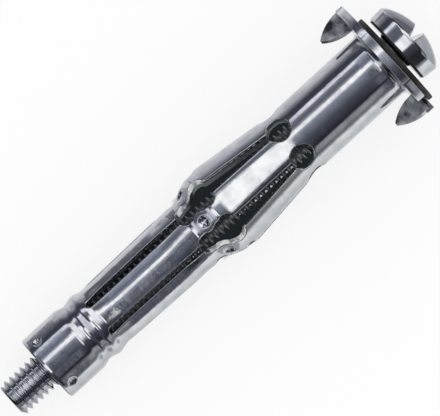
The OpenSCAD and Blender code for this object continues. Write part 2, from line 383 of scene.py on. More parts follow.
def plated(name, base, dull, streaks, bump, gloss=(0.05, 0.13), film=None, crown=None):
    """Bright zinc plate over steel: a mirror that is slightly cloudy, with fine lines from the forming.

    streaks is a line's size in millimetres along x, y and z. film is where painted shade,
    which darkens the plate's colour, and a duller gloss begin and end along X, and the shade's colour.
    crown is the radius to which a flat face is rolled over.
    """
    made, tree, place = new_material(name)
    lines = add(tree, "ShaderNodeMapping", {"Vector": place, "Scale": [1 / (s * MM) for s in streaks]})
    grain = add(tree, "ShaderNodeTexNoise", {"Vector": lines, "Scale": 1.0, "Detail": 4.0,
                                             "Roughness": 0.55})
    # Plating cloud about 1.4 mm across, and pits of 0.22 mm, which are coarser than real ones to show
    cloud, pits = (add(tree, "ShaderNodeTexNoise", {"Vector": place, "Scale": 1 / (size * MM),
                                                    "Detail": detail})
                   for size, detail in ((1.4, 3.0), (0.22, 2.0)))
    tint = add(tree, "ShaderNodeMapRange", {"Value": cloud, "From Min": 0.35, "From Max": 0.7})
    shade = add(tree, "ShaderNodeMix", {"Factor": tint, 6: base, 7: dull}, data_type="RGBA")
    rough = add(tree, "ShaderNodeMapRange", {"Value": cloud, "From Min": 0.3, "From Max": 0.7,
                                             "To Min": gloss[0], "To Max": gloss[1]})
    spot = add(tree, "ShaderNodeSeparateXYZ", {"Vector": place}).outputs
    # Painted shade: inside the span a darker colour stands in for shade, and the gloss is duller
    if film:
        start, end, oiled = film
        fade, dulled = 0.5 * MM, 0.34
        ends = [add(tree, "ShaderNodeMapRange", {"Value": spot["X"], "From Min": at, "From Max": full})
                for at, full in ((start, start + fade), (end, end - fade))]
        under = add(tree, "ShaderNodeMath", {0: ends[0], 1: ends[1]}, operation="MULTIPLY")
        shade = add(tree, "ShaderNodeMix", {"Factor": under, 6: shade.outputs[2], 7: oiled},
                    data_type="RGBA")
        rough = add(tree, "ShaderNodeMix", {"Factor": under, "A": rough, "B": dulled})
    # Each layer is a height, the share of it that shows, and what a height of 1 stands for in metres
    wave, mark = 0.012 * MM, 0.02 * MM
    layers = [(cloud, 1.0, wave), (grain, bump, mark), (pits, bump * 0.5, mark)]
    if crown:
        square = add(tree, "ShaderNodeMath", {0: spot["Y"], 1: spot["Y"]}, operation="MULTIPLY")
        sink = add(tree, "ShaderNodeMath", {0: square, 1: -0.5 / crown}, operation="MULTIPLY")
        layers.insert(0, (sink, 1.0, 1.0))
    normal = {}
    for height, strength, distance in layers:
        normal = {"Normal": add(tree, "ShaderNodeBump", {"Strength": strength, "Distance": distance,
                                                         "Height": height, **normal})}
    shader = add(tree, "ShaderNodeBsdfPrincipled", {"Base Color": shade.outputs[2], "Metallic": 1.0,
                                                    "Roughness": rough, **normal})
    add(tree, "ShaderNodeOutputMaterial", {"Surface": shader})
    return made


def patchy(name, patch, grit, border, colours, bump, rough, metallic=None):
    """A satin or matt finish in two colours, in patches that fade into each other under a fine grit.

    patch and grit are each a size in millimetres and a level of detail, border is where the noise of the
    patches fades, and metallic is how metallic each of the two colours is.
    """
    made, tree, place = new_material(name)
    spots, grain = (add(tree, "ShaderNodeTexNoise", {"Vector": place, "Scale": 1 / (size * MM),
                                                     "Detail": detail}) for size, detail in (patch, grit))
    tint = add(tree, "ShaderNodeMapRange", {"Value": spots, "From Min": border[0], "From Max": border[1]})
    shade = add(tree, "ShaderNodeMix", {"Factor": tint, 6: colours[0], 7: colours[1]}, data_type="RGBA")
    normal = add(tree, "ShaderNodeBump", {"Strength": bump, "Distance": 0.03 * MM, "Height": grain})
    shader = add(tree, "ShaderNodeBsdfPrincipled", {"Base Color": shade.outputs[2], "Roughness": rough,
                                                    "Normal": normal})
    if metallic:
        metal = add(tree, "ShaderNodeMapRange", {"Value": tint, "To Min": metallic[0],
                                                 "To Max": metallic[1]})
        tree.links.new(metal.outputs[0], shader.inputs["Metallic"])
    add(tree, "ShaderNodeOutputMaterial", {"Surface": shader})
    return made


def zinc_bloom_and_highlight(finish):
    """White bloom on zinc, in patches where a punch has torn the plating: satin and pale. The pale colour
    is partly a painted highlight on the edges at the folds and round the holes.
    """
    # Patches about 1.1 mm across, and grit of 0.2 mm, which is coarser than real bloom to show
    return patchy("White bloom on punched zinc", (1.1, 3.0), (0.2, 2.0), (0.42, 0.56),
                  (finish.zinc_dull, finish.bloom), 0.3, 0.35, (1.0, 0.25))


def vulcanised_fibre(finish):
    """Pressed, vulcanised fibre: near-black, matt, with a faint nap and rubbed patches."""
    # Rubbed patches about 1.8 mm across, and a nap of 0.15 mm, which is coarser than real nap to show
    return patchy("Vulcanised fibre", (1.8, 3.0), (0.15, 5.0), (0.5, 0.75),
                  (finish.fibre, finish.fibre_worn), 0.4, 0.6)


# ---- Sleeve ----

# Columns of faces across one leg, outside and in the bore
OUTER, INNER = 36, 18
# Rings of faces from the flange round into the tube
ROOT_RINGS = 8
# Points closer than this, in metres, are joined
JOIN = 0.0000015
# Turns about the axis at which the flange has its teeth
TOOTH_SIDES = (math.pi / 2, 3 * math.pi / 2)


class Sizes:
    """Every size in millimetres, and the sleeve's shapes that follow from them. Depths run from x = 0."""

    def __init__(self, scene):
        for prefix, group in (("", scene.anchor_sleeve), ("", scene.anchor_fold),
                              ("collar_", scene.anchor_collar), ("flange_", scene.anchor_flange),
                              ("screw_", scene.anchor_screw)):
            for key in group.__annotations__:
                value, unit = getattr(group, key), group.bl_rna.properties[key].unit
                setattr(self, prefix + key, value / MM if unit == "LENGTH" else value)
        self.tube_r = self.tube / 2
        self.root_r = self.tube_r + self.bend
        self.end_at = -SLEEVE_BOX[0].x / MM
        self.plate = SLEEVE_BOX[1].x / MM
        self.flat = SLEEVE_BOX[1].z / MM
        self.flange_r = self.flange_diameter / 2
        self.half = math.pi / self.legs
        self.collar_r = self.tube_r + self.collar_out
        self.waist_r = self.tube_r + self.spread
        self.spread_at = self.hole_at + self.hole / 4
        self.lift_at = self.hole_at - self.hole / 8
        self.back_at = self.waist_at + self.back
        self.lug_at = self.waist_at + self.lug_gap
        self.neck_at = self.waist_at + self.neck_gap
        self.wave_end = self.collar_groove_at + self.collar_wave / 2
        self.wave_start = self.collar_groove_at - self.collar_wave
        self.hole_top = self.hole_at - self.hole / 2
        self.slot_tip = self.slot_end + self.slot / 2

    def out_r(self, d):
        """Outside radius at each depth."""
        d = np.asarray(d, float)
        t = np.clip((d - self.waist_at) / self.back, 0, 1)
        curve = self.waist_r + (self.tube_r - self.waist_r) * smooth(t)
        wave = self.collar_r - self.collar_groove / 2 * (
            1 + np.cos(2 * np.pi * (d - self.collar_groove_at) / self.collar_wave))
        low = self.collar_r - self.collar_groove

        def ramp(at, soft):
            t = d - at
            return np.where(np.abs(t) < soft, (t + soft) ** 2 / (4 * soft), np.maximum(t, 0))
        # The leg bends gently out of the tube, and into the waist
        at_tube, at_waist = 0.5, 0.7
        rise = ramp(self.lift_at, at_tube) - ramp(self.waist_at - at_waist, at_waist)
        line = self.tube_r + self.spread * rise / (self.waist_at - self.lift_at - at_waist)
        taper = np.interp(d, [self.back_at, self.wave_start], [self.tube_r, low])
        return np.select([d < self.waist_at, d < self.back_at, d < self.wave_start, d < self.wave_end],
                         [line, curve, taper, wave], self.collar_r)

    def slot_half(self, d):
        """Half the width of a slot at each depth, 0 where there is none."""
        d = np.asarray(d, float)
        narrow, wide = self.slot / 2, self.slot / 2 + self.spread * math.sin(self.half)
        sides = np.interp(d, [self.spread_at, self.waist_at, self.back_at], [narrow, wide, narrow])
        sides = np.where((d >= self.hole_at) & (d <= self.slot_end), sides, 0)
        tip = np.where(d > self.slot_end, chord(narrow, d - self.slot_end), 0)
        return np.maximum(np.maximum(chord(self.hole / 2, d - self.hole_at), sides), tip)

    def leg_half(self, d):
        """Half the width that the cuts round the fold leave of a leg at each depth."""
        d = np.asarray(d, float)
        uncut = np.full_like(d, 9.0)

        def cut(width, radius, at):
            bite = chord(radius, d - at)
            return np.where(bite > 0, width / 2 + radius - bite, uncut)
        flank = np.where((d > self.waist_at) & (d < self.neck_at), self.neck / 2, uncut)
        cuts = np.minimum(np.minimum(cut(self.waist, self.waist_cut, self.waist_at),
                                     cut(self.neck, self.neck_cut, self.neck_at)), flank)
        return np.maximum(cuts, chord(self.lug / 2, d - self.lug_at))

    def edge_angle(self, d, r):
        """Angle from a leg's middle to its edge at each depth, on a surface of radius r."""
        by_slot = self.half - np.arcsin(np.clip(self.slot_half(d) / r, 0, 1))
        by_cut = np.arcsin(np.clip(self.leg_half(d) / r, 0, 1))
        return np.minimum(by_slot, by_cut)

    def stations(self):
        """Depths of the rows along the legs, close together where an edge or the wall turns."""
        near = np.array([0.008, 0.03, 0.08])
        hole = self.hole_at - self.hole / 2 * np.cos(np.linspace(0, math.pi, 21)[:-2])
        tip = self.slot_end + self.slot / 2 * np.sin(np.linspace(0, math.pi / 2, 8))
        fold = (self.waist_at - 1.3, self.back_at + 0.6)
        punch = (self.collar_punch_at - 0.7, self.collar_punch_at + 0.7)
        last = self.end_at - self.collar_end_edge
        least = 0.006
        rows = np.concatenate([
            np.linspace(self.bend, self.hole_top - 0.3, 6), self.hole_top - near, hole,
            np.linspace(self.hole_at + self.hole / 2 + 0.1, fold[0], 14), np.linspace(*fold, 84),
            np.linspace(fold[1], self.wave_start, 12), np.linspace(self.wave_start, self.wave_end, 42),
            tip, self.slot_tip + near, np.linspace(self.wave_end, punch[0], 5), np.linspace(*punch, 17)])
        rows = np.sort(rows[rows <= last])
        rows = rows[np.concatenate([[True], np.diff(rows) > least])]
        return np.append(rows[rows < last - least], last)


def smooth(t):
    """Eases a share from 0 to 1 at both ends."""
    return t * t * (3 - 2 * t)


def chord(radius, off):
    """Half the chord of a circle at each distance from its centre, 0 outside it."""
    return np.sqrt(np.maximum(radius ** 2 - off ** 2, 0))


def columns_across(half_width, inset, count):
    """Places of the columns across a leg, from edge to edge, the outer ones inset from each edge."""
    side = half_width[:, None] - np.array(inset)[None]
    middle = count - 2 * (len(inset) - 1)
    inner = side[:, -1:] * np.linspace(-1, 1, middle + 1)[None]
    return np.concatenate([-side[:, :-1], inner, side[:, -2::-1]], axis=1)


def distance_to_line(points, line):
    """Shortest distance from each point to a line of points."""
    a, b = line[:-1], line[1:]
    ab = b - a
    t = ((points[:, None] - a) * ab).sum(2) / np.maximum((ab ** 2).sum(1), 1e-12)
    foot = a + np.clip(t, 0, 1)[..., None] * ab
    return np.sqrt(((points[:, None] - foot) ** 2).sum(2)).min(1)


def rolled_edge(distance, radius):
    """How far a surface drops towards an edge rounded to a radius."""
    near = np.clip(radius - distance, 0, radius)
    return radius - np.sqrt(radius ** 2 - near ** 2)


def ball_radius(width, depth):
    """Radius of the ball that leaves a dent of a width and depth."""
    return ((width / 2) ** 2 + depth ** 2) / (2 * depth)


def press(points, centre, direction, radius):
    """Pushes points that a ball covers along a direction, out of the ball, with a soft rim."""
    soft = 0.02
    q = points - centre
    along = q @ direction
    inside = along ** 2 - (q ** 2).sum(1) + radius ** 2
    push = np.where(inside > 0, along + np.sqrt(np.maximum(inside, 0)), -1)
    push = np.where(push > -0.5, 0.5 * (push + np.sqrt(push ** 2 + 4 * soft ** 2)), 0)
    return points - push[:, None] * direction


def leg_points(s, rows, radius, inset, count, side):
    """Points across one leg on its outer (side 1) or inner (side -1) surface, row by row."""
    across = columns_across(s.edge_angle(rows, radius) * radius, inset, count)
    samples, reach = 1400, 0.3
    line_at = np.linspace(s.hole_top, s.slot_tip, samples)
    line_r = s.out_r(line_at) - (0 if side > 0 else s.wall)
    line = np.stack([line_at, s.edge_angle(line_at, line_r) * line_r], 1)
    # The drop at the edges is worked out for one half of the leg and mirrored
    half = across[:, :count // 2 + 1]
    spots = np.stack([np.broadcast_to(rows[:, None], half.shape), -half], 2).reshape(-1, 2)
    drop = np.zeros(len(spots))
    close = (spots[:, 0] > s.hole_top - reach) & (spots[:, 0] < s.slot_tip + reach)
    drop[close] = rolled_edge(distance_to_line(spots[close], line), s.edge)
    drop = drop.reshape(half.shape)
    drop = np.concatenate([drop, drop[:, :count // 2][:, ::-1]], 1)
    turn = across / radius[:, None]
    r = radius[:, None] - side * drop
    points = np.stack([r * np.cos(turn), r * np.sin(turn), np.broadcast_to(rows[:, None], r.shape)], 2)
    # The legs have rolled a little about their own middles between the lug and the bead
    near, far, soft = s.back_at + 1.2, s.wave_start + 0.2, 1.5
    ease = smooth(np.clip([(rows - near) / soft, (far - rows) / soft], 0, 1))
    roll = (s.roll * ease[0] * ease[1])[:, None]
    middle_r = (radius - side * s.wall / 2)[:, None]
    rise, lateral = points[..., 0] - middle_r, points[..., 1].copy()
    points[..., 0] = middle_r + rise * np.cos(roll) - lateral * np.sin(roll)
    points[..., 1] = rise * np.sin(roll) + lateral * np.cos(roll)
    # The lug's dimple is pressed in square to the sloping leg
    t = s.lug_gap / s.back
    slope = math.atan(s.spread * 6 * t * (1 - t) / s.back)
    out = np.array([math.cos(slope), 0, math.sin(slope)])
    ball = ball_radius(s.dimple, s.dimple_depth)
    centre = np.array([float(s.out_r(s.lug_at)), 0, s.lug_at]) + out * (ball - s.dimple_depth)
    flat = press(points.reshape(-1, 3), centre, out, ball + (0 if side > 0 else s.wall))
    return flat.reshape(points.shape)


def leg_sector(s):
    """One leg's share of the sleeve, from the flange's root to the open end and back up the bore."""
    rows, lip = s.stations(), 0.06

    def rings(count, centre, size, start, stop, steps):
        """Rings of points round an arc of [radius, depth]."""
        across = np.linspace(-s.half, s.half, count + 1)
        for turn in np.radians(np.linspace(start, stop, steps + 1)):
            r, depth = centre[0] + size * math.cos(turn), centre[1] + size * math.sin(turn)
            yield np.stack([r * np.cos(across), r * np.sin(across), np.full(count + 1, depth)], 1)[None]
    edge, bore, mouth = s.collar_end_edge, s.collar_r - s.wall, s.bend + s.wall
    outside = np.concatenate([
        *list(rings(OUTER, (s.root_r, s.bend), s.bend, 270, 180, ROOT_RINGS))[:-1],
        leg_points(s, rows, s.out_r(rows), [0, 0.008, 0.03, s.edge], OUTER, 1),
        *list(rings(OUTER, (s.collar_r - edge, s.end_at - edge), edge, 0, 90, 5))[1:]])
    in_rows = np.append(rows[(rows > s.hole_top - 0.4) & (rows < s.wave_end)],
                        rows[rows >= s.wave_end][:-1])
    in_r = np.where(in_rows < s.wave_end, s.out_r(in_rows) - s.wall, bore)
    inside = np.concatenate([
        *rings(INNER, (s.root_r, mouth - s.plate), mouth, 270, 180, ROOT_RINGS),
        leg_points(s, in_rows, in_r, [0, 0.03, s.edge], INNER, -1),
        *rings(INNER, (bore + lip, s.end_at - lip), lip, 180, 90, 3)])
    points = np.concatenate([outside.reshape(-1, 3), inside.reshape(-1, 3)])
    outer_at, inner_at = (np.arange(grid.size // 3).reshape(grid.shape[:2])
                          for grid in (outside, inside))
    inner_at += outside.size // 3
    outer_faces, inner_faces = (
        np.stack([at[:-1, :-1], at[:-1, 1:], at[1:, 1:], at[1:, :-1]], 2).reshape(-1, 4).tolist()
        for at in (outer_at, inner_at))
    faces = [face[::-1] for face in outer_faces] + inner_faces
    # The open end has two outer columns to each inner one
    for j in range(INNER):
        faces.append([*outer_at[-1, 2 * j:2 * j + 3], *inner_at[-1, j:j + 2][::-1]][::-1])
    # The cut faces join the outer and inner rows wherever the leg has an open edge
    open_rows = in_rows[(in_rows >= s.hole_top - 1e-9) & (in_rows <= s.slot_tip + 1e-9)]
    outer_first = ROOT_RINGS + int(np.searchsorted(rows, open_rows[0] - 1e-9))
    inner_first = ROOT_RINGS + 1 + int(np.searchsorted(in_rows, open_rows[0] - 1e-9))
    for k in range(len(open_rows) - 1):
        o, n = outer_first + k, inner_first + k
        for column, way in ((0, -1), (-1, 1)):
            faces.append([*outer_at[o:o + 2, column], *inner_at[n:n + 2, column][::-1]][::way])
    r, side, depth = points.T
    up, across = rotate(r, side, s.turn)
    return np.stack([-depth, across, up], 1), faces


def round_legs(material):
    """A node tree that repeats a leg about the axis and joins its neighbours where they touch."""
    tree, given = new_tree("Legs round the axis", Geometry=["Leg"], Int=["Legs"], Float=["Join distance"])
    row = add(tree, "GeometryNodeMeshLine", {"Count": given["Legs"], "Offset": (0, 0, 0)})
    share = add(tree, "ShaderNodeMath", {0: 2 * math.pi, 1: given["Legs"]}, operation="DIVIDE")
    turn = add(tree, "ShaderNodeMath", {0: add(tree, "GeometryNodeInputIndex"), 1: share},
               operation="MULTIPLY")
    spin = add(tree, "ShaderNodeCombineXYZ", {"X": turn})
    legs = add(tree, "GeometryNodeInstanceOnPoints", {"Points": row, "Instance": given["Leg"],
                                                      "Rotation": spin})
    end_tree(tree, legs, given["Join distance"], material)
    return tree


def flat_place(s, x, y, turn):
    """Where a point of a tooth's own flat frame lies on the flange, as [up, across]."""
    u, v = rotate(x, y, s.flange_skew)
    return rotate(s.flange_r - s.flange_tooth_in + u, v, turn)


def side_radius(s, width):
    """Radius of a tooth's sides, which curve in from its width at the root to its point."""
    return (s.flange_tooth ** 2 + (width / 2) ** 2) / width


def within(p, loop):
    """True where a point lies inside a closed loop."""
    inside = False
    for (ax, ay), (bx, by) in zip(loop, loop[1:] + loop[:1]):
        if (ay > p[1]) != (by > p[1]) and p[0] < (bx - ax) * (p[1] - ay) / (by - ay) + ax:
            inside = not inside
    return inside


def flange_mesh(s):
    """The flange's plate with two flats and two notches, rounded at its rim and open at its root."""
    width = s.flange_tooth_width
    big = side_radius(s, width)
    end = math.acos(s.flat / s.flange_r)
    outline = [polar(s.flange_r, a) for start in (0, math.pi)
               for a in np.linspace(start + end, start + math.pi - end, 65)]
    notches = []
    for turn in TOOTH_SIDES:
        arc = [(big - width / 2 - big * math.cos(a), big * math.sin(a)) for a in np.linspace(0, 1.1, 24)]
        notch = [flat_place(s, x, y, turn) for x, y in arc + [(big, 0)]]
        # Where a notch runs in under the tube's bend, the bend is left whole
        least = s.root_r + 0.05
        notches.append([tuple(c * max(1, least / math.hypot(*p)) for c in p) for p in notch])
    bm = bmesh.new()
    for x, count in ((0, OUTER * s.legs), (s.plate, INNER * s.legs)):
        ring = [polar(s.root_r, a) for a in s.turn - s.half + np.arange(count) * 2 * math.pi / count]
        loops = [ring, outline] + notches
        edges, start = [], 0
        for loop in loops:
            edges += [(start + k, start + (k + 1) % len(loop)) for k in range(len(loop))]
            start += len(loop)
        spots, _, faces, _, _, _ = delaunay_2d_cdt([Vector(p) for loop in loops for p in loop], edges, [],
                                                   0, 1e-7)
        made = [bm.verts.new(Vector((x, q, p)) * MM) for p, q in spots]
        for face in faces:
            middle = sum((spots[v] for v in face), Vector((0, 0))) / len(face)
            if within(middle, outline) and not any(within(middle, hole) for hole in [ring] + notches):
                bm.faces.new([made[v] for v in face])
    bmesh.ops.delete(bm, geom=[v for v in bm.verts if not v.link_faces], context="VERTS")
    # The rim's walls join the edges that lie above each other in the two faces
    rim = {}
    for edge in bm.edges:
        if edge.is_boundary and min(v.co.yz.length / MM for v in edge.verts) > s.root_r + 0.01:
            key = frozenset(tuple(round(c / MM, 4) for c in v.co.yz) for v in edge.verts)
            rim.setdefault(key, []).append(edge)
    edges = []
    for pair in rim.values():
        if len(pair) != 2:
            raise RuntimeError("the flange's two faces don't share a rim")
        (a, b), (c, d) = pair[0].verts, pair[1].verts
        if (a.co.yz - c.co.yz).length > (a.co.yz - d.co.yz).length:
            c, d = d, c
        bm.faces.new([a, b, d, c])
        edges += pair
    # The sheared flats slope in a little towards the outer face
    for vert in {v for e in edges for v in e.verts if v.co.x > 0.5 * s.plate * MM}:
        vert.co.z *= 1 - s.flange_draft * s.plate / s.flat
    bmesh.ops.recalc_face_normals(bm, faces=bm.faces)
    round_edges(bm, edges, s.flange_edge)
    return to_mesh(bm, "flange")


def tooth_mesh(s, turn):
    """A pointed tooth, bent square out of the flange, with rounded edges."""
    # It was sheared out with a little clearance, so it is narrower than its notch
    clearance, rounding = 0.1, 0.1
    height, width = s.flange_tooth, s.flange_tooth_width - clearance
    half, big = s.plate / 2, side_radius(s, width)
    # The root lies just inside the plate, and runs on into it, so that the union is clean
    skin, root, inner_bend = 0.02, 0.25, 0.04
    bend = s.plate - skin
    sections = [(width / 2, (-half - root, -skin), (-half - root, -bend))]
    for a in np.linspace(0, math.pi / 2, 9):
        sections.append((width / 2, *((-half + r * math.sin(a), -r * math.cos(a))
                                      for r in (inner_bend, bend))))
    for z in [*np.linspace(0.1, height - 0.12, 16), height - 0.03]:
        sections.append((max(math.sqrt(big ** 2 - z ** 2) - big + width / 2, 0.03),
                         (-half, z), (-half + bend, z)))
    bm = bmesh.new()
    rings = []
    for w, inside, outside in sections:
        ring = []
        for x, (y, z) in ((-w, inside), (w, inside), (w, outside), (-w, outside)):
            up, across = flat_place(s, x, y, turn)
            ring.append(bm.verts.new(Vector((-z, across, up)) * MM))
        rings.append(ring)
    for a, b in zip(rings, rings[1:]):
        for k in range(4):
            bm.faces.new([a[k], a[(k + 1) % 4], b[(k + 1) % 4], b[k]])
    bm.faces.new(rings[0])
    bm.faces.new(rings[-1])
    bmesh.ops.recalc_face_normals(bm, faces=bm.faces)
    round_edges(bm, [e for e in bm.edges if e.calc_face_angle(0) > math.radians(50)
                     and all(v not in rings[0] for v in e.verts)], rounding)
    return to_mesh(bm, "tooth")


def make_sleeve(scene):
    s, finish = Sizes(scene), scene.anchor_finish
    # Deep-drawn steel under bright zinc: a mirror with faint lines drawn out along the tube
    drawn = (6.0, 0.16, 0.16)
    metal = plated("Bright zinc on drawn steel", finish.zinc, finish.zinc_dull, drawn, 0.25)
    piece = new_object("anchor_sleeve", *leg_sector(s))
    run_tree(piece, round_legs(metal), {"Legs": s.legs, "Join distance": JOIN})

    # Punch marks round the collar: dents outside, bumps inside
    co = np.array([v.co for v in piece.data.vertices]) / MM
    ball = ball_radius(s.collar_punch, s.collar_punch_depth)
    outer = np.hypot(co[:, 1], co[:, 2]) > s.collar_r - s.wall / 2
    for k in range(s.collar_punches):
        out = np.array([0, *polar(1, (k + 0.5) * 2 * math.pi / s.collar_punches)[::-1]])
        centre = np.array([-s.collar_punch_at, 0, 0]) + out * (s.collar_r + ball - s.collar_punch_depth)
        for group, radius in ((outer, ball), (~outer, ball + s.wall)):
            group = group & (co[:, 0] < -s.wave_end)
            co[group] = press(co[group], centre, out, radius)
    piece.data.vertices.foreach_set("co", (co * MM).ravel())

    weld(piece, [flange_mesh(s)], JOIN)
    for turn in TOOTH_SIDES:
        combine(piece, "UNION", place_mesh("tooth", tooth_mesh(s, turn)))
    finish_shading(piece)
    # The plating barely reaches into the bore: thin, grey and dull, and the grey is partly painted shade
    thin_shaded_bore = plated("Thin zinc in the bore", finish.bore, finish.bore, drawn, 0.3, (0.3, 0.5))
    # A sheared face keeps the tool's lines across the plate, under duller plating
    sheared = finish.zinc_sheared, finish.zinc_dull, (3.0, 0.2, 0.2), 0.3, (0.12, 0.2)
    # The teeth and the notches they leave are torn: rough, mottled, and dark where the plating is thin
    torn = plated("Zinc on torn steel", finish.torn, finish.zinc_sheared, (0.5, 0.5, 0.5), 1.0,
                  (0.28, 0.45))
    give_materials(piece, metal, thin_shaded_bore, plated("Zinc on sheared steel", *sheared),
                   plated("Zinc on the sheared flats", *sheared, crown=s.flange_crown * MM),
                   zinc_bloom_and_highlight(finish), torn)
    # A face's place and the way it looks tell how it was made
    bore, shear, flats, bloom, rough = range(1, 6)
    for face in piece.data.polygons:
        x, y, z = face.center / MM
        n, r = face.normal, math.hypot(y, z)
        out = (n.y * y + n.z * z) / r
        # Faces in the bore take the thin plate, whose grey is partly painted shade
        if x < 0 and out < -0.3 and r < float(s.out_r(-x)) - s.wall / 2:
            face.material_index = bore
        elif x > -s.plate / 2 and r > s.root_r + 0.1 and abs(n.x) < 0.5:
            face.material_index = (flats if abs(z) > 0.95 * s.flat and abs(n.z) > 0.97
                                   else shear if r > 0.97 * s.flange_r else rough)
        elif -5 < x < -s.plate / 2 - 0.1 and r > s.root_r:
            face.material_index = rough
        # Edges at the folds and round the holes take the bloom, whose pale colour is partly a painted
        # highlight
        elif abs(out) < 0.5 and (s.waist_at - 1.2 < -x < s.back_at
                                 or s.hole_top < -x < s.hole_at + s.hole / 2):
            face.material_index = bloom
    return piece


# ---- Screw ----

def thread_tree(metal):
    """A node tree that turns a flat grid into a screw thread along X, fading out at the top."""
    tree, given = new_tree("Screw thread", Float=("Tip", "Top", "Radius", "Depth", "Pitch", "Chamfer"),
                           Int=("Turns", "Rows", "Columns"))
    # In pitches: half the crest's flat, a flank, and where the crest lies at the tip
    flat, flank, start = 0.0625, 0.375, 8.4375
    grid = add(tree, "GeometryNodeMeshGrid", {"Size X": 1.0, "Size Y": 1.0, "Vertices X": given["Rows"],
                                              "Vertices Y": given["Columns"]})
    spot = add(tree, "ShaderNodeSeparateXYZ", {"Vector": add(tree, "GeometryNodeInputPosition")}).outputs
    values = {name: given[name] for name in given.keys() if name}
    values.update(X=spot["X"], Y=spot["Y"])
    # Each row is a value's name, the operation that gives it, and the values it takes
    for name, operation, *taken in (
            ("far", "ADD", "X", 0.5), ("along", "MULTIPLY", "far", "Turns"), ("around", "ADD", "Y", 0.5),
            ("both", "ADD", "along", "around"), ("pitches", "SUBTRACT", "both", 1.0),
            ("raw", "MULTIPLY_ADD", "pitches", "Pitch", "Tip"), ("past", "SUBTRACT", "raw", "Tip"),
            # Distance from the crest, in pitches: 0 on the crest and 0.5 in the root
            ("shifted", "ADD", "along", start), ("phase", "FRACT", "shifted"),
            ("off", "SUBTRACT", "phase", 0.5), ("crest", "ABSOLUTE", "off"),
            ("slope", "SUBTRACT", "crest", flat), ("part", "DIVIDE", "slope", flank),
            ("fall", "MAXIMUM", "part", 0.0), ("cut", "MULTIPLY", "Depth", "fall"),
            # The thread runs out over the last pitch
            ("room", "SUBTRACT", "Top", "raw"), ("share", "DIVIDE", "room", "Pitch"),
            ("more", "MAXIMUM", "share", 0.0), ("left", "MINIMUM", "more", 1.0),
            ("fading", "MULTIPLY", "cut", "left"), ("full", "SUBTRACT", "Radius", "fading"),
            ("tip radius", "SUBTRACT", "Radius", "Chamfer"), ("chamfer", "ADD", "tip radius", "past"),
            ("core", "SUBTRACT", "Radius", "Depth"), ("lower", "MINIMUM", "full", "chamfer"),
            ("thread", "MAXIMUM", "lower", "core"),
            # Rows past the tip all fall on one ring, which the merge then closes up
            ("inside", "GREATER_THAN", "past", 0.000002), ("proud", "SUBTRACT", "thread", "core"),
            ("radius", "MULTIPLY_ADD", "proud", "inside", "core"), ("kept", "MAXIMUM", "raw", "Tip"),
            ("x", "MINIMUM", "kept", "Top"), ("angle", "MULTIPLY", "around", 2 * math.pi),
            ("cos", "COSINE", "angle"), ("sin", "SINE", "angle"), ("y", "MULTIPLY", "radius", "cos"),
            ("z", "MULTIPLY", "radius", "sin")):
        made = add(tree, "ShaderNodeMath", {k: values.get(v, v) for k, v in enumerate(taken)},
                   operation=operation)
        values[name] = made.outputs[0]
    place = add(tree, "ShaderNodeCombineXYZ", {"X": values["x"], "Y": values["y"], "Z": values["z"]})
    moved = add(tree, "GeometryNodeSetPosition", {"Geometry": grid, "Position": place})
    end_tree(tree, moved, 0.000001, metal)
    return tree


